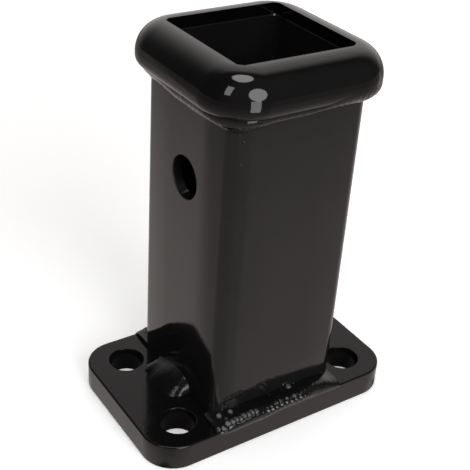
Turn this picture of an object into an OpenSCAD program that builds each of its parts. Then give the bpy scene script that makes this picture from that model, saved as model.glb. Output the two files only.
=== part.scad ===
// Hitch receiver tube: a square tube welded upright on a bolt-on base plate,
// with a heavy rounded collar welded round its mouth. Lengths are millimetres.
// The origin is the middle of the plate's underside. Z runs up the tube and X
// along the plate's long side, which is also the way the hitch pin goes through.

/* [Receiver tube] */
// Height from the plate's underside to the mouth
overall_h = 163; // [120:1:260]
// Outside width of the square tube
tube_w = 60; // [54:0.5:64]
// Wall thickness of the tube
tube_wall = 4; // [3:0.25:6]
// Outside radius of the tube's long edges
tube_edge_r = 4.5; // [3:0.25:7]
// Inside radius of the tube's long edges
tube_bore_edge_r = 4; // [1.5:0.25:6]
// Bevel inside the tube's upper end
tube_end_bevel = 0.6; // [0.2:0.1:1.5]

/* [Pin hole] */
// Bore of the hole for the hitch pin
pin_hole_d = 17.5; // [12:0.25:24]
// Depth of the pin hole's axis below the mouth
pin_below_mouth = 53; // [36:0.5:80]

/* [Base plate] */
// Plate left free in front of the tube and behind it
plate_ledge = 7.25; // [5:0.25:12]
// Thickness of the plate
plate_t = 11.5; // [6:0.5:20]
// Radius of the plate's corners, seen from above
plate_corner_r = 14; // [6:0.5:20]
// Rounding of the plate's upper and lower edges
plate_edge_r = 0.8; // [0.3:0.1:1.5]
// Distance from the tube's side face to the bolts' centres
bolt_off_tube = 12.5; // [10.5:0.5:30]
// Distance from the plate's short edge to the bolts' centres
bolt_edge_l = 16.5; // [12:0.5:24]
// Distance from the plate's long edge to the bolts' centres
bolt_edge_w = 14.75; // [12:0.25:18]
// Diameter of the bolt holes
bolt_hole_d = 15; // [9:0.25:17]
// Bevel at both ends of each bolt hole
bolt_hole_bevel = 0.4; // [0.2:0.1:1]

/* [Mouth collar] */
// How far the collar stands out from the tube
collar_wall = 8.5; // [6:0.25:12]
// Height of the collar
collar_h = 16.5; // [16:0.5:30]
// Height of the inner lip that covers the tube's end
collar_lip_h = 4.8; // [2:0.2:8]
// Width of the flat rim round the mouth
collar_rim_w = 1; // [0.4:0.1:3]
// Radius of the collar's outer corners, seen from above
collar_corner_r = 19; // [16.5:0.5:24]
// Rounding of the collar's lower edge
collar_lower_r = 4; // [1:0.25:4.25]
// Radius of the mouth's four corners
mouth_corner_r = 2; // [1:0.25:6]

/* [Base welds] */
// Height of the long welds on the tube
long_weld_h = 4; // [2.5:0.25:6]
// How far the long welds run down over the plate's edge
long_weld_lap = 2.4; // [1:0.1:3]
// How far the crown of the long welds is drawn out past the plate's edge
long_weld_swell = 4.75; // [1:0.25:5.5]
// Length over which the long welds grow to their full crown
long_weld_growth = 20; // [6:1:40]
// Run of the long welds past the tube's corner where they start
long_weld_run_on = 2.5; // [0:0.25:4]
// Length of the short tack welds
tack_l = 25; // [12:0.5:26]
// Reach of the tack welds over the plate
tack_leg = 9.5; // [5:0.25:11]
// Height of the tack welds on the tube
tack_h = 6; // [3:0.25:9]
// Shift of the tacks from the middle of their face
tack_shift = -2; // [-4:0.25:4]

/* [Collar weld] */
// Mean height of the collar weld on the tube
collar_weld_h = 5; // [3:0.25:7]
// How much that height gains and loses round the tube
collar_weld_swing = 2; // [0:0.25:2.5]
// Height of the weld on the collar's side, at its highest
collar_weld_climb = 4; // [1:0.25:6]
// How much leaner that weld gets at the left rear and right front corners
collar_weld_slack = 1.6; // [0:0.1:1.6]

/* [Weld ripples] */
// Spacing of the ripples in the welds
ripple_pitch = 2.4; // [1.6:0.1:5]
// Height of the ripples
ripple_h = 0.3; // [0.1:0.05:0.6]

/* [Hidden] */
$fn = 96;

over = 1;                                   // cuts run this far past a face
half_tube = tube_w / 2;
mouth_w = tube_w - 2 * tube_wall;
half_mouth = mouth_w / 2;
tube_top = overall_h - collar_lip_h;
tube_core = half_tube - tube_edge_r;        // centres of the tube's edge radii
pin_z = overall_h - pin_below_mouth;

plate_w = tube_w + 2 * plate_ledge;
bolt_span_w = plate_w - 2 * bolt_edge_w;
bolt_span_l = tube_w + 2 * bolt_off_tube;
plate_l = bolt_span_l + 2 * bolt_edge_l;

half_collar = half_tube + collar_wall;
shoulder_r = tube_wall + collar_wall - collar_rim_w;
collar_core = half_collar - collar_corner_r;
collar_foot = overall_h - collar_h;

weld_colour = "#1c1b1b";
paint_colour = "#161616";
crown_steps = 6;                            // facets over a bead's crown

// Shared outlines

module rounded_square(w, r) {
    square([w, w - 2 * r], center = true);
    square([w - 2 * r, w], center = true);
    for (x = [-1, 1], y = [-1, 1])
        translate([x, y] * (w / 2 - r))
            circle(r);
}

// Block with round corners in plan. Its child is the half section of the rim,
// drawn from x = 0 out to $reach, and the block takes the child's height.
module swept_block(half_l, half_w, corner_r) {
    core_l = half_l - corner_r;
    core_w = half_w - corner_r;
    for (turn = [0, 180])
        rotate(turn) {
            rotate([90, 0, 0])
                linear_extrude(2 * core_w, center = true) {
                    $reach = half_l;
                    children();
                }
            rotate([90, 0, 90])
                linear_extrude(2 * core_l, center = true) {
                    $reach = half_w;
                    children();
                }
        }
    for (x = [-1, 1], y = [-1, 1])
        translate([x * core_l, y * core_w, 0])
            rotate(corner_turn(x, y))
                rotate_extrude(angle = 90) {
                    $reach = corner_r;
                    children();
                }
}

// Quarter turn that faces the corner with these signs
function corner_turn(x, y) = x > 0 ? (y > 0 ? 0 : 270) : (y > 0 ? 90 : 180);

// Rim section: rounded above by top_r and below by foot_r
module rim_section(h, top_r, foot_r) {
    square([$reach - max(top_r, foot_r), h]);
    translate([0, foot_r])
        square([$reach, h - top_r - foot_r]);
    square([$reach - foot_r, foot_r]);
    rim_round(top_r, h - top_r, h - top_r);
    rim_round(foot_r, foot_r, 0);
}

// One rounded band of a rim, as high as its radius
module rim_round(r, centre_y, band_y) {
    intersection() {
        translate([$reach - r, centre_y])
            circle(r);
        translate([0, band_y])
            square([$reach, r]);
    }
}

// Base plate and tube

module base_plate() {
    color(paint_colour)
        difference() {
            swept_block(plate_l / 2, plate_w / 2, plate_corner_r)
                rim_section(plate_t, plate_edge_r, plate_edge_r);
            for (x = [-1, 1], y = [-1, 1])
                translate([x * bolt_span_l / 2, y * bolt_span_w / 2, 0])
                    bolt_hole();
        }
}

module bolt_hole() {
    r = bolt_hole_d / 2;
    translate([0, 0, -over])
        cylinder(r = r, h = plate_t + 2 * over);
    translate([0, 0, plate_t - bolt_hole_bevel])
        cylinder(r1 = r, r2 = r + 2 * bolt_hole_bevel, h = 2 * bolt_hole_bevel);
    translate([0, 0, -bolt_hole_bevel])
        cylinder(r1 = r + 2 * bolt_hole_bevel, r2 = r, h = 2 * bolt_hole_bevel);
}

module receiver_tube() {
    color(paint_colour)
        difference() {
            translate([0, 0, plate_t])
                linear_extrude(tube_top - plate_t)
                    difference() {
                        rounded_square(tube_w, tube_edge_r);
                        rounded_square(mouth_w, tube_bore_edge_r);
                    }
            translate([0, 0, tube_top - tube_end_bevel])
                swept_block(half_mouth, half_mouth, tube_bore_edge_r)
                    polygon([[0, 0], [$reach, 0],
                             [$reach + 2 * tube_end_bevel, 2 * tube_end_bevel],
                             [0, 2 * tube_end_bevel]]);
            translate([0, 0, pin_z])
                rotate([0, 90, 0])
                    cylinder(d = pin_hole_d, h = tube_w + 2 * over, center = true);
        }
}

// Mouth collar: a thick ring with a full round shoulder. The tube goes up into
// it from below and stops under the lip.
module mouth_collar() {
    color(paint_colour)
        difference() {
            translate([0, 0, collar_foot])
                swept_block(half_collar, half_collar, collar_corner_r)
                    rim_section(collar_h, shoulder_r, collar_lower_r);
            translate([0, 0, collar_foot - over])
                linear_extrude(tube_top - collar_foot + over)
                    rounded_square(tube_w, tube_edge_r);
            translate([0, 0, collar_foot])
                linear_extrude(collar_h + over)
                    rounded_square(mouth_w, mouth_corner_r);
        }
}

// Weld beads. A bead is a skin over rings of points, one ring every third or so
// of a ripple. In a ring, points are [out, up]: out from the tube's face and up
// from the face the bead stands on or hangs from.

module skin(rings, closed = false, hubs = []) {
    n = len(rings[0]);
    m = len(rings);
    spans = closed ? m : m - 1;
    walls = [
        for (i = [0 : spans - 1], j = [0 : n - 1])
            let (k = (i + 1) % m, l = (j + 1) % n)
                each [[i * n + j, k * n + j, k * n + l], [i * n + j, k * n + l, i * n + l]]
    ];
    ends = closed ? [] : [
        for (j = [0 : n - 1])
            let (l = (j + 1) % n, last = (m - 1) * n)
                each [[m * n, j, l], [m * n + 1, last + l, last + j]]
    ];
    polyhedron(concat([for (ring = rings) each ring], hubs), concat(walls, ends));
}

// Smooth step from 0 to 1 as x goes from a to b
function ease(x, a, b) =
    let (t = min(max((x - a) / (b - a), 0), 1))
        t * t * (3 - 2 * t);

// Slow unevenness of a hand-laid bead, between -1 and 1
function sway(s, seed) =
    (sin(s * 23 + seed * 71) + 0.7 * sin(s * 41 + seed * 133) + 0.4 * sin(s * 9 + seed * 17)) / 2.1;

// Curve from one toe to the other, drawn to a control point, with the ripples
// swept back in the middle of the bead as they freeze
function crown(from, to, pull, s, strength) = [
    for (i = [0 : crown_steps])
        let (t = i / crown_steps,
             base = pow(1 - t, 2) * from + 2 * t * (1 - t) * pull + t * t * to,
             middle = sin(180 * t),
             wave = cos(360 * s / ripple_pitch + 140 * middle),
             side = pull - (from + to) / 2)
            base + side / norm(side) * ripple_h * strength * middle * wave
];

// How far the tube's face lies behind its flat at a distance s from the middle
function face_setback(s) =
    let (past = min(max(abs(s) - tube_core, 0), tube_edge_r))
        tube_edge_r - sqrt(pow(tube_edge_r, 2) - pow(past, 2));

function bead_stations(from, to, spacing) =
    let (n = ceil((to - from) / spacing))
        [for (i = [0 : n]) from + (to - from) * i / n];

// Puts a ring of [out, up] points at a place along the front face
function placed(ring, s) = [for (p = ring) [s, -half_tube - p[0], plate_t + p[1]]];

// Long weld: it fills the ledge beside the tube and laps over the plate's edge
function long_ring(s, seed) =
    let (start = ease(s, -half_tube - long_weld_run_on, -tube_core),
         stop = 1 - ease(s, tube_core - tube_edge_r, half_tube),
         body = 0.3 + 0.7 * start * (0.25 + 0.75 * stop),
         rippled = 0.08 + 0.92 * ease(s, -12, -8) * (1 - 0.6 * ease(s, 8, 14)),
         height = long_weld_h * body * (1 + 0.1 * sway(s, seed)),
         lap = plate_edge_r + (long_weld_lap - plate_edge_r)
               * (0.2 + 0.8 * start * (1 - ease(s, -14, 4)) + 0.12 * sway(s, seed + 3)),
         grown = min(max((s + half_tube + long_weld_run_on) / long_weld_growth, 0), 1),
         swell = long_weld_swell * (0.25 + 0.75 * start * (1 - 0.7 * ease(s, 8, 18))),
         inner = -face_setback(s),
         tube_toe = [inner, height],
         plate_toe = [plate_ledge, -lap],
         pull = [plate_ledge + swell, height * (0.75 + 0.5 * grown)])
        concat([[inner, 0]],
               [for (a = [90 : -30 : 0])
                   [plate_ledge - plate_edge_r, -plate_edge_r] + plate_edge_r * [cos(a), sin(a)]],
               crown(plate_toe, tube_toe, pull, s, rippled * body));

module long_weld(seed) {
    stations = bead_stations(-half_tube - long_weld_run_on, half_tube, ripple_pitch / 3);
    rings = [for (s = stations) placed(long_ring(s, seed), s)];
    hub = [[plate_ledge + 0.1, 0.15]];
    color(weld_colour)
        skin(rings, hubs = [placed(hub, stations[0])[0], placed(hub, half_tube)[0]]);
}

module front_base_weld() long_weld(seed = 1);

module rear_base_weld() rotate(180) long_weld(seed = 5);

// Tack weld: a short fat fillet in the middle of a face, cut off square where it
// was started and rounded where it stopped
tack_run = min(tack_l, bolt_span_w - bolt_hole_d - 4);
tack_from = tack_shift - tack_run / 2;
tack_to = tack_shift + tack_run / 2;

function tack_ring(s, seed) =
    let (along = (s - tack_from) / tack_run,
         body = (0.7 + 0.3 * ease(along, 0, 0.12)) * sqrt(max(1 - pow(max(along - 0.7, 0) / 0.32, 2), 0)),
         leg = tack_leg * (0.25 + 0.75 * body) * (1 + 0.08 * sway(s, seed)),
         height = tack_h * (0.5 + 0.5 * ease(along, 0, 0.6)) * body + 0.6,
         pull = [leg * 0.72, height * 0.62])
        concat([[0, 0]],
               crown([leg, 0], [0, height], pull, s, 0.4 * body));

module tack_weld(seed) {
    stations = bead_stations(tack_from, tack_to, ripple_pitch / 3);
    rings = [for (s = stations) placed(tack_ring(s, seed), s)];
    hub = [[0.3, 0.2]];
    color(weld_colour)
        skin(rings, hubs = [placed(hub, tack_from)[0], placed(hub, tack_to)[0]]);
}

module left_tack_weld() rotate(-90) tack_weld(seed = 2);

module right_tack_weld() rotate(90) tack_weld(seed = 7);

// Collar weld: one bead all round the tube under the collar. Its stations go
// round the tube's outline as [point, outward direction].
side_steps = 40;
corner_steps = 14;
seat_steps = 5;                             // facets where the weld wraps the collar's foot
seat_play = 0.01;                           // keeps those facets off the round foot
weld_stations = [
    for (quarter = [0 : 3], i = [0 : side_steps + corner_steps - 1])
        let (turn = quarter * 90,
             on_side = i < side_steps,
             lift = on_side ? 0 : 90 * (i - side_steps) / corner_steps,
             along = on_side ? -tube_core + 2 * tube_core * i / side_steps : tube_core,
             flat = [half_tube, along],
             corner = [tube_core, tube_core] + tube_edge_r * [cos(lift), sin(lift)])
            [turned(on_side ? flat : corner, turn), turned([cos(lift), sin(lift)], turn)]
];

function turned(p, a) = [p[0] * cos(a) - p[1] * sin(a), p[0] * sin(a) + p[1] * cos(a)];

// Distance from a point of the tube, along its normal, to the collar's outline
// drawn in by an inset
function to_outline(point, normal, inset) =
    let (p = [abs(point[0]), abs(point[1])],
         n = [abs(normal[0]), abs(normal[1])],
         r = collar_corner_r - inset,
         rel = p - [collar_core, collar_core],
         by_side = n[0] > n[1] ? (r - rel[0]) / n[0] : (r - rel[1]) / n[1],
         hit = rel + by_side * n)
        min(hit[0], hit[1]) <= 0
            ? by_side
            : -(rel * n) + sqrt(pow(rel * n, 2) - (rel * rel - r * r));

// Inset of the collar's side at a height above its foot
function foot_inset(up) =
    up >= collar_lower_r
        ? 0
        : collar_lower_r - sqrt(pow(collar_lower_r, 2) - pow(collar_lower_r - up, 2));

function collar_weld_ring(point, normal, share) =
    let (angle = atan2(point[1], point[0]),
         loop = 360 * share,
         bumps = (sin(7 * loop) + 0.8 * sin(11 * loop + 60) + 0.6 * sin(17 * loop + 130)) / 2.4,
         height = collar_weld_h + collar_weld_swing * cos(angle - 170) + 0.45 * bumps,
         near = exp(-pow((angle + 52) / 26, 2)),
         climb = 0.5 + (collar_weld_climb - 0.5) * near * (1 + 0.12 * bumps),
         reach = to_outline(point, normal, foot_inset(climb)) + seat_play * seat_steps,
         slack = collar_weld_slack * (1 - 0.5 * near) * max(cos(2 * angle + 90), 0),
         pull = [reach + 0.7 + 0.22 * climb - slack, slack - 0.4 * height],
         perimeter = 8 * tube_core + 2 * PI * tube_edge_r,
         ring = concat(
             [[0, 0]],
             [for (k = [0 : seat_steps - 1])
                 let (up = climb * pow(k / seat_steps, 1.8))
                     [to_outline(point, normal, foot_inset(up)) + seat_play * k, up]],
             crown([reach, climb], [0, -height], pull, perimeter * share, 0.5 + 0.5 * near)))
        [for (q = ring)
            [point[0] + normal[0] * q[0], point[1] + normal[1] * q[0], collar_foot + q[1]]];

module collar_weld() {
    count = len(weld_stations);
    color(weld_colour)
        skin([for (i = [0 : count - 1])
                 collar_weld_ring(weld_stations[i][0], weld_stations[i][1], i / count)],
             closed = true);
}

base_plate();
receiver_tube();
mouth_collar();
collar_weld();
front_base_weld();
rear_base_weld();
left_tack_weld();
right_tack_weld();
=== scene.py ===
from math import cos, pi, radians, sin

import bmesh
import bpy
from mathutils import Matrix, Vector
from mathutils.bvhtree import BVHTree


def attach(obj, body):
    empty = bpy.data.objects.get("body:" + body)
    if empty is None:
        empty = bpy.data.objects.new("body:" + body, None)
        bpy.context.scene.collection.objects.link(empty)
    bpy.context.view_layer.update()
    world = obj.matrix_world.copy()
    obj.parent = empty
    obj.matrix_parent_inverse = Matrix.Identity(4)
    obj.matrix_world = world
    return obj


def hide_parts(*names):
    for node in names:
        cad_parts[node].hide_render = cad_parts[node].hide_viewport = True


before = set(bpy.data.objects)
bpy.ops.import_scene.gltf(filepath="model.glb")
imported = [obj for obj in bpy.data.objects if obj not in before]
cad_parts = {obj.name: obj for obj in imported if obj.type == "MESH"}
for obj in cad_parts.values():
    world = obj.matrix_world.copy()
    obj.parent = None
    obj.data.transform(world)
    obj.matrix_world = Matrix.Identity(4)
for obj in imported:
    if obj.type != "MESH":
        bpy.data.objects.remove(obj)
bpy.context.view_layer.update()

MM = 0.001
PLATE_L, PLATE_W, PLATE_T = 118 * MM, 74.5 * MM, 11.5 * MM
PLATE_CORNER_R, PLATE_EDGE_R = 14 * MM, 0.8 * MM
PEEL_DEPTH = 0.000012
BOLT_SPAN_L, BOLT_SPAN_W = 85 * MM, 45 * MM
BOLT_HOLE_R, BOLT_HOLE_BEVEL = 7.5 * MM, 0.4 * MM
TUBE_W, TUBE_WALL = 60 * MM, 4 * MM
TUBE_EDGE_R, BORE_EDGE_R = 4.5 * MM, 4 * MM
TUBE_TOP, TUBE_END_BEVEL = 158.2 * MM, 0.6 * MM
PIN_Z, PIN_HOLE_R = 110 * MM, 8.75 * MM
COLLAR_W, COLLAR_FOOT, COLLAR_TOP = 77 * MM, 146.5 * MM, 163 * MM
COLLAR_CORNER_R, SHOULDER_R, COLLAR_LOWER_R = 19 * MM, 11.5 * MM, 4 * MM
MOUTH_W, MOUTH_CORNER_R = 52 * MM, 2 * MM
CORNER_STEPS = 24
ROOM_R = 3
BLACK = (0.0, 0.0, 0.0)
WHITE = (1.0, 1.0, 1.0)
TUBE_BLACK = (0.0085, 0.008, 0.008)
COLLAR_BLACK = (0.0026, 0.0024, 0.0024)

# Round beads of spatter on the front face: x, z and radius in millimetres
SPATTER = ((-25.6, 141.1, 0.7), (-24.9, 136.8, 0.6), (-25.4, 128.1, 0.55),
           (9.9, 14.3, 1.3), (4.4, 16.6, 0.9), (7.6, 15.6, 1.0))
# Single flat scales on the front weld: x, y and radius in millimetres
SCALES = ((-28.4, -31.2, 1.4), (-23.4, -31.9, 1.3), (6.4, -31.3, 1.5), (5.6, -36.8, 1.2),
          (1.6, -36.9, 0.9), (-3.4, -37, 0.8))
SCALE_LEAN = (-0.26, -0.34, 0.9)


# Shapes

def piece_from(bm, name, nodes, sharp_above=40, turn_out=True):
    """Makes a finished mesh into an object that stands for CAD nodes."""
    bmesh.ops.remove_doubles(bm, verts=bm.verts[:], dist=1e-7)
    if turn_out:
        bmesh.ops.recalc_face_normals(bm, faces=bm.faces[:])
    for face in bm.faces:
        face.smooth = max(abs(part) for part in face.normal) < 0.99999
    for edge in bm.edges:
        turned = edge.calc_face_angle(0) if len(edge.link_faces) == 2 else 0
        edge.smooth = turned < radians(sharp_above)
    mesh = bpy.data.meshes.new(name)
    bm.to_mesh(mesh)
    bm.free()
    piece = bpy.data.objects.new(name, mesh)
    bpy.context.scene.collection.objects.link(piece)
    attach(piece, "root")
    if nodes:
        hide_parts(*nodes)
    return piece


def rounded_loop(bm, length, width, radius, z, steps=CORNER_STEPS):
    """Adds the edges of a level rectangle with round corners, and returns them."""
    place = Matrix.Translation((0, 0, z)) @ Matrix.Diagonal((length / 2, width / 2, 1, 1))
    verts = bmesh.ops.create_grid(bm, x_segments=1, y_segments=1, size=1, matrix=place)["verts"]
    face = verts[0].link_faces[0]
    rounded = bmesh.ops.bevel(bm, geom=verts, offset=radius, offset_type="OFFSET",
                              affect="VERTICES", segments=steps, profile=0.5, material=-1)
    face = rounded["verts"][0].link_faces[0]
    edges = list(face.edges)
    bmesh.ops.delete(bm, geom=[face], context="FACES_ONLY")
    return edges


def round_loop(bm, radius, place, steps=64):
    """Adds the edges of a circle, and returns them."""
    verts = bmesh.ops.create_circle(bm, cap_ends=False, segments=steps, radius=radius,
                                    matrix=place)["verts"]
    return list({edge for vert in verts for edge in vert.link_edges})


def raised(bm, edges, by):
    """Draws a loop of edges out into a wall, and returns the far loop."""
    drawn = bmesh.ops.extrude_edge_only(bm, edges=edges)["geom"]
    verts = [item for item in drawn if isinstance(item, bmesh.types.BMVert)]
    bmesh.ops.translate(bm, verts=verts, vec=by)
    fresh = set(verts)
    return [item for item in drawn if isinstance(item, bmesh.types.BMEdge)
            and item.verts[0] in fresh and item.verts[1] in fresh]


def bridged(bm, one, other):
    bmesh.ops.bridge_loops(bm, edges=one + other)


def filled(bm, edges):
    bmesh.ops.triangle_fill(bm, use_beauty=True, edges=edges)


def bevelled(bm, edges, size, steps):
    bmesh.ops.recalc_face_normals(bm, faces=bm.faces[:])
    bmesh.ops.bevel(bm, geom=edges, offset=size, offset_type="OFFSET", affect="EDGES",
                    segments=steps, profile=0.5, material=-1, clamp_overlap=False)


def opened(bm, z):
    """Takes away the flat cap at a height, and returns its border."""
    cap = next(face for face in bm.faces if all(abs(v.co.z - z) < 1e-7 for v in face.verts))
    border = list(cap.edges)
    bmesh.ops.delete(bm, geom=[cap], context="FACES_ONLY")
    return border


def make_plate():
    bm = bmesh.new()
    floor = rounded_loop(bm, PLATE_L, PLATE_W, PLATE_CORNER_R, 0)
    top = raised(bm, floor, (0, 0, PLATE_T))
    rings = [[], []]
    for x in (-1, 1):
        for y in (-1, 1):
            ends = []
            for level, z in ((0, 0), (1, PLATE_T)):
                place = Matrix.Translation((x * BOLT_SPAN_L / 2, y * BOLT_SPAN_W / 2, z))
                ring = round_loop(bm, BOLT_HOLE_R, place)
                ends.append(ring)
                rings[level] += ring
            bridged(bm, *ends)
    filled(bm, floor + rings[0])
    filled(bm, top + rings[1])
    bevelled(bm, floor + top, PLATE_EDGE_R, 6)
    bevelled(bm, rings[0] + rings[1], BOLT_HOLE_BEVEL, 3)
    return piece_from(bm, "plate_body", ["base_plate"])


def wall_with_hole(bm, x):
    """Opens the tube's flat wall at x with a round pin hole, and returns the rim."""
    wall = next(face for face in bm.faces
                if all(abs(vert.co.x - x) < 1e-6 for vert in face.verts))
    border = list(wall.edges)
    bmesh.ops.delete(bm, geom=[wall], context="FACES_ONLY")
    place = Matrix.Translation((x, 0, PIN_Z)) @ Matrix.Rotation(pi / 2, 4, "Y")
    rim = round_loop(bm, PIN_HOLE_R, place)
    filled(bm, border + rim)
    return rim


def make_tube():
    bm = bmesh.new()
    rise = (0, 0, TUBE_TOP - PLATE_T)
    foot_outside = rounded_loop(bm, TUBE_W, TUBE_W, TUBE_EDGE_R, PLATE_T)
    foot_inside = rounded_loop(bm, MOUTH_W, MOUTH_W, BORE_EDGE_R, PLATE_T)
    top_outside = raised(bm, foot_outside, rise)
    top_inside = raised(bm, foot_inside, rise)
    for side in (-1, 1):
        outer = wall_with_hole(bm, side * TUBE_W / 2)
        inner = wall_with_hole(bm, side * MOUTH_W / 2)
        bridged(bm, outer, inner)
        bevelled(bm, outer, 0.35 * MM, 3)
    filled(bm, foot_outside + foot_inside)
    filled(bm, top_outside + top_inside)
    bevelled(bm, top_inside, TUBE_END_BEVEL, 1)
    return piece_from(bm, "tube_body", ["receiver_tube"])


def make_collar():
    bm = bmesh.new()
    foot = rounded_loop(bm, COLLAR_W, COLLAR_W, COLLAR_CORNER_R, COLLAR_FOOT)
    top = raised(bm, foot, (0, 0, COLLAR_TOP - COLLAR_FOOT))
    for loop in (foot, top):
        bmesh.ops.edgeloop_fill(bm, edges=loop)
    bevelled(bm, top, SHOULDER_R, 32)
    bevelled(bm, foot, COLLAR_LOWER_R, 12)
    rim = opened(bm, COLLAR_TOP)
    underside = opened(bm, COLLAR_FOOT)
    mouth = rounded_loop(bm, MOUTH_W, MOUTH_W, MOUTH_CORNER_R, COLLAR_TOP)
    lip = raised(bm, mouth, (0, 0, TUBE_TOP - COLLAR_TOP))
    seat = rounded_loop(bm, TUBE_W, TUBE_W, TUBE_EDGE_R, COLLAR_FOOT)
    seat_top = raised(bm, seat, (0, 0, TUBE_TOP - COLLAR_FOOT))
    filled(bm, rim + mouth)
    filled(bm, underside + seat)
    filled(bm, seat_top + lip)
    bevelled(bm, mouth, 0.3 * MM, 3)
    return piece_from(bm, "collar_body", ["mouth_collar"])


def make_bead(node, name, smoothing=0):
    """A merged, smoothed copy of a weld's CAD node."""
    bm = bmesh.new()
    bm.from_mesh(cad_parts[node].data)
    bmesh.ops.remove_doubles(bm, verts=bm.verts[:], dist=1e-7)
    crown = [vert for vert in bm.verts if vert.co.z > PLATE_T + 0.7 * MM
             and max(abs(vert.co.x), abs(vert.co.y)) > TUBE_W / 2 + 0.4 * MM]
    for _ in range(smoothing):
        bmesh.ops.smooth_vert(bm, verts=crown, factor=0.5, use_axis_x=True, use_axis_y=True,
                              use_axis_z=True)
    bmesh.ops.join_triangles(bm, faces=bm.faces[:], angle_face_threshold=radians(25),
                             angle_shape_threshold=radians(60))
    creases = bm.edges.layers.float.new("crease_edge")
    for edge in bm.edges:
        edge[creases] = float(edge.calc_face_angle(0) > radians(40))
    piece = piece_from(bm, name, [node], sharp_above=50, turn_out=False)
    rounding = piece.modifiers.new("rounding", "SUBSURF")
    rounding.levels = rounding.render_levels = 2
    return piece


def make_spatter(bead):
    """Small beads of weld metal on the front face, and flat scales on the front bead."""
    bm = bmesh.new()
    bm.from_mesh(bead.data)
    weld = BVHTree.FromBMesh(bm)
    bm.clear()
    for x, z, radius in SPATTER:
        place = (Matrix.Translation((x * MM, -TUBE_W / 2, z * MM))
                 @ Matrix.Diagonal((1, 0.7, 1.15, 1)))
        bmesh.ops.create_icosphere(bm, subdivisions=3, radius=radius * MM, matrix=place)
    lean = Vector(SCALE_LEAN).to_track_quat("Z", "Y").to_matrix().to_4x4()
    chain = [(-29.2 + 1.9 * step, -36.9 + 0.3 * (step % 2), 1.7) for step in range(9)]
    for x, y, radius in (*chain, *SCALES):
        spot, _, _, _ = weld.ray_cast(Vector((x, y, 40)) * MM, Vector((0, 0, -1)))
        place = (Matrix.Translation(spot + Vector((0, 0, 0.3 * MM))) @ lean
                 @ Matrix.Diagonal((1, 1, 0.14, 1)))
        bmesh.ops.create_icosphere(bm, subdivisions=3, radius=radius * MM, matrix=place)
    return piece_from(bm, "spatter", [])


# Materials

class Socket:
    """A node's output; arithmetic on it adds Math nodes to its tree."""

    def __init__(self, tree, output=None):
        self.tree = tree
        self.output = output

    def node(self, kind, settings=None, sockets=None, out=0):
        """Adds a node: its type, its settings, then its sockets' values or links."""
        made = self.tree.nodes.new(kind)
        for name, value in (settings or {}).items():
            setattr(made, name, value)
        for name, value in (sockets or {}).items():
            if isinstance(value, Socket):
                self.tree.links.new(value.output, made.inputs[name])
            else:
                made.inputs[name].default_value = value
        return Socket(self.tree, made.outputs[out] if made.outputs else None)

    def math(self, operation, *values):
        return self.node("ShaderNodeMath", {"operation": operation}, dict(enumerate(values)))

    def __add__(self, other):
        return self.math("ADD", self, other)

    def __sub__(self, other):
        return self.math("SUBTRACT", self, other)

    def __rsub__(self, other):
        return self.math("SUBTRACT", other, self)

    def __mul__(self, other):
        return self.math("MULTIPLY", self, other)

    __radd__ = __add__
    __rmul__ = __mul__

    def step(self, low, high):
        """Smooth step of this value from low to high."""
        return self.node("ShaderNodeMapRange", {"interpolation_type": "SMOOTHSTEP"},
                         {"Value": self, "From Min": low, "From Max": high})

    def noise(self, scale, detail=2, rough=0.5, stretch=(1, 1, 1)):
        """Noise on the piece's own coordinates; scale counts features a metre."""
        place = self.node("ShaderNodeTexCoord", out=3)
        placed = self.node("ShaderNodeMapping", None, {"Vector": place, "Scale": stretch})
        return self.node("ShaderNodeTexNoise", None,
                         {"Vector": placed, "Scale": scale, "Detail": detail,
                          "Roughness": rough})


def glow(value, colour):
    """A light colour whose brightness is this value."""
    return value.node("ShaderNodeVectorMath", {"operation": "SCALE"},
                      {"Vector": colour, "Scale": value})


def axes(start):
    """The x, y and z of a point on the piece, in metres."""
    place = start.node("ShaderNodeTexCoord", out=3)
    return [start.node("ShaderNodeSeparateXYZ", None, {"Vector": place}, out=axis)
            for axis in range(3)]


def rolled_faces(start):
    """How far a rolled tube's faces fall away towards its long edges, in metres."""
    x, y, _ = axes(start)
    off_middle = x.math("SMOOTH_MIN", x.math("ABSOLUTE", x), x.math("ABSOLUTE", y), 0.003)
    past = x.math("MAXIMUM", off_middle - 0.01, 0)
    outside = x.math("MAXIMUM", x.math("ABSOLUTE", x), x.math("ABSOLUTE", y)).step(0.0265, 0.028)
    return 3.4 * past * past * outside


def paint(name, gloss=0.1, peel=1.0, level=0.5, lumps=0.0, rolled=False,
          colour=(0.0046, 0.0042, 0.0042)):
    """Black gloss paint with orange peel, faint mottle and handling marks."""
    material = bpy.data.materials.new(name)
    material.use_nodes = True
    tree = material.node_tree
    tree.nodes.clear()
    start = Socket(tree)
    mottle = start.noise(55, 3)
    peel_waves = start.noise(420, 2, 0.4)
    fine = start.noise(1500, 2, 0.5)
    rubbed = start.noise(38, 4, 0.6).step(0.5, 0.72)
    rough = gloss + 0.05 * mottle + 0.05 * rubbed
    height = peel_waves + 0.25 * fine
    if lumps:
        height = height + lumps * start.noise(380, 3, 0.5)
    if rolled:
        height = height - rolled_faces(start) * (1 / (PEEL_DEPTH * peel))
    bump = start.node("ShaderNodeBump", None,
                      {"Strength": 1.0, "Distance": PEEL_DEPTH * peel, "Height": height})
    worn = tuple(1.25 * part for part in colour) + (1,)
    tint = start.node("ShaderNodeMix", {"data_type": "RGBA"},
                      {"Factor": mottle.step(0.35, 0.7), "A": colour + (1,), "B": worn}, out=2)
    surface = start.node("ShaderNodeBsdfPrincipled", None,
                         {"Base Color": tint, "Roughness": rough, "Normal": bump,
                          "IOR": 1.5, "Specular IOR Level": level})
    start.node("ShaderNodeOutputMaterial", None, {"Surface": surface})
    return material


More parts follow.
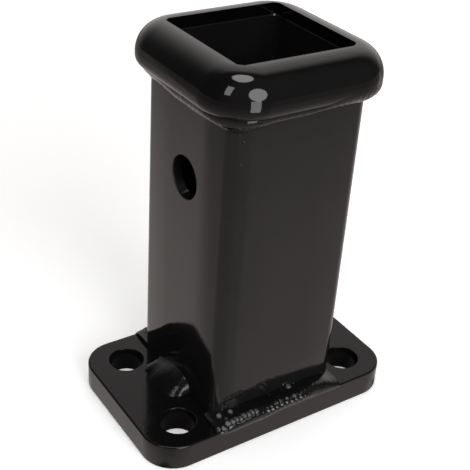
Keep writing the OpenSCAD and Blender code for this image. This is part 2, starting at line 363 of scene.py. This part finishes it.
def wear(piece, finish, edge_finish=None):
    """Gives a piece its finish, and its upright faces another one if there is one."""
    piece.data.materials.clear()
    piece.data.materials.append(finish)
    if edge_finish:
        piece.data.materials.append(edge_finish)
        for face in piece.data.polygons:
            outside = max(abs(face.center.x) / PLATE_L, abs(face.center.y) / PLATE_W) > 0.42
            face.material_index = int(abs(face.normal.z) < 0.6 and outside)


# Studio

def direction(azimuth, elevation):
    """Unit vector at an azimuth from +Y towards +X and an elevation, in degrees."""
    a, e = radians(azimuth), radians(elevation)
    return Vector((sin(a) * cos(e), cos(a) * cos(e), sin(e)))


def make_camera():
    data = bpy.data.cameras.new("camera")
    data.sensor_width = 36
    data.lens = 74.30
    data.clip_start = 0.01
    camera = bpy.data.objects.new("camera", data)
    target = Vector((-7.336, -3.679, 80)) * MM
    back = Vector((-0.4921, -0.6984, 0.5197)).normalized()
    turn = back.to_track_quat("Z", "Y").to_matrix() @ Matrix.Rotation(radians(4.038), 3, "Z")
    camera.matrix_world = Matrix.Translation(target + back * 390.065 * MM) @ turn.to_4x4()
    bpy.context.scene.collection.objects.link(camera)
    bpy.context.scene.camera = camera


def lit(name, azimuth, elevation, distance, size, radiance, shape="RECTANGLE"):
    """A softbox that faces the part from a direction; its power gives its brightness."""
    data = bpy.data.lights.new(name, "AREA")
    data.shape = shape
    data.size = size[0]
    if shape != "DISK":
        data.size_y = size[1]
    data.energy = radiance * pi * size[0] * size[1] * (1 if shape == "RECTANGLE" else pi / 4)
    light = bpy.data.objects.new(name, data)
    away = direction(azimuth, elevation)
    light.matrix_world = (Matrix.Translation(away * distance + Vector((0, 0, 0.08)))
                          @ away.to_track_quat("Z", "Y").to_matrix().to_4x4())
    bpy.context.scene.collection.objects.link(light)


def make_ground(name, z):
    """A round sheet under the part, part of the stage."""
    bm = bmesh.new()
    bmesh.ops.create_circle(bm, cap_ends=True, segments=96, radius=6)
    bmesh.ops.translate(bm, verts=bm.verts[:], vec=(0, 0, z))
    mesh = bpy.data.meshes.new(name)
    bm.to_mesh(mesh)
    bm.free()
    sheet = bpy.data.objects.new(name, mesh)
    bpy.context.scene.collection.objects.link(sheet)
    return sheet


def stage_finish(name, base, light, pattern=None):
    """A matt finish for the stage that gives off its own light, even or in a pattern."""
    material = bpy.data.materials.new(name)
    material.use_nodes = True
    material.node_tree.nodes.clear()
    start = Socket(material.node_tree)
    shining = glow(pattern(start), light) if pattern else light + (1,)
    shader = start.node("ShaderNodeBsdfPrincipled", None,
                        {"Base Color": base + (1,), "Roughness": 1.0, "Specular IOR Level": 0.0,
                         "Emission Color": shining, "Emission Strength": 1.0})
    start.node("ShaderNodeOutputMaterial", None, {"Surface": shader})
    return material


def table_light(start):
    """How bright the glowing table is where the paint mirrors it, all painted light and painted
    shade: bright behind the part, dark at the front left, even close round the plate but for
    painted shade at its front left corner, and painted shade under it."""
    x, y, _ = axes(start)
    back_line = (x * 0.8269 + y * 0.5623 + 0.0316).step(-0.022, 0.008)
    front_line = (x * 0.8919 + y * 0.4522 + 0.0326).step(-0.004, 0.003)
    behind = y.step(-0.05, 0)
    lit_side = behind * back_line + (1 - behind) * front_line
    spread = x.math("SQRT", x * x + y * y).step(0.1, 0.6)
    far = (0.4 + lit_side * (0.13 + 0.1 * behind)) * (1 - 0.6 * spread)
    near = (x.step(-0.0705, -0.0698) * (1 - y.step(0.046, 0.048)) * y.step(-0.0535, -0.0525))
    corner = (0 - x).step(0.048, 0.064) * (0 - y).step(0.03, 0.045)
    open_table = far + near * (0.6 - 0.24 * corner - far)
    under = ((1 - x.math("ABSOLUTE", x).step(0.056, 0.0592))
             * (1 - y.math("ABSOLUTE", y).step(0.0345, 0.0375)))
    return open_table * (1 - 0.85 * under)


def floor_light(start):
    """A little light of the floor's own, which makes up for the lamps' fall-off."""
    place = start.node("ShaderNodeTexCoord", out=3)
    away = start.node("ShaderNodeVectorMath", {"operation": "LENGTH"}, {"Vector": place}, out=1)
    return 0.34 + 0.66 * away.step(0.2, 1.5)


def room_light(start):
    """How bright the room is round the part: a wide pale screen behind it that fades out
    to both sides, and a dim room elsewhere, darkest at the front right."""
    x, y, z = axes(start)
    turn = x.math("ARCTAN2", x, y)
    screen = (turn.step(radians(-38), radians(32)) * (1 - turn.step(radians(58), radians(97)))
              * (1 - z.step(ROOM_R * sin(radians(58)), ROOM_R * sin(radians(74)))))
    left = turn.math("ABSOLUTE", turn).step(radians(85), radians(135))
    return 0.06 + 0.09 * left + 0.86 * screen


def make_room():
    bm = bmesh.new()
    bmesh.ops.create_uvsphere(bm, u_segments=48, v_segments=24, radius=ROOM_R)
    mesh = bpy.data.meshes.new("room")
    bm.to_mesh(mesh)
    bm.free()
    room = bpy.data.objects.new("room", mesh)
    bpy.context.scene.collection.objects.link(room)
    room.data.materials.append(stage_finish("room_wall", BLACK, (1, 0.96, 0.94), room_light))
    room.visible_camera = False


def make_studio():
    world = bpy.data.worlds.new("studio")
    bpy.context.scene.world = world
    world.use_nodes = True
    world.node_tree.nodes["Background"].inputs["Color"].default_value = WHITE + (1,)
    make_room()
    lit("overhead", -120, 87, 1.6, (0.8, 0.8), 4.5, "DISK")
    lit("key", -180, 30, 1.6, (1.05, 1.15), 4.2, "ELLIPSE")
    lit("side_strip", -112, 38, 1.6, (0.35, 0.8), 3.3)
    lit("low_front", -171, 3.6, 0.35, (0.12, 0.2), 3.2)
    floor = make_ground("floor", 0)
    floor.data.materials.append(stage_finish("pale_floor", (0.98, 0.98, 0.98), WHITE,
                                              floor_light))
    floor.visible_glossy = False
    floor.visible_diffuse = False
    floor.visible_shadow = False
    table = make_ground("table", -0.1 * MM)
    table.data.materials.append(stage_finish("table_top", BLACK, (1.04, 0.94, 0.91), table_light))
    table.visible_camera = False


bpy.context.scene.view_settings.view_transform = "Standard"
make_camera()
make_studio()

plate = make_plate()
tube = make_tube()
collar = make_collar()
beads = [make_bead("collar_weld", "collar_bead"),
         make_bead("front_base_weld", "front_bead"),
         make_bead("rear_base_weld", "rear_bead"),
         make_bead("left_tack_weld", "left_tack", smoothing=2),
         make_bead("right_tack_weld", "right_tack", smoothing=2)]

spatter = make_spatter(beads[1])

weld_paint = paint("painted_weld", gloss=0.1, peel=1.5, lumps=12.0)
wear(collar, paint("collar_paint", gloss=0.02, colour=COLLAR_BLACK))
wear(tube, paint("tube_paint", gloss=0.06, rolled=True, colour=TUBE_BLACK))
wear(plate, paint("plate_paint", gloss=0.08, peel=2.0, level=0.24),
     paint("plate_side_paint", gloss=0.16))
tack_paint = paint("tack_paint", gloss=0.14, peel=1.5, level=0.3, lumps=9.0)
for piece in beads:
    wear(piece, tack_paint if piece.name.endswith("tack") else weld_paint)
wear(spatter, paint("spatter_paint", gloss=0.2, peel=1.5, lumps=2.0))
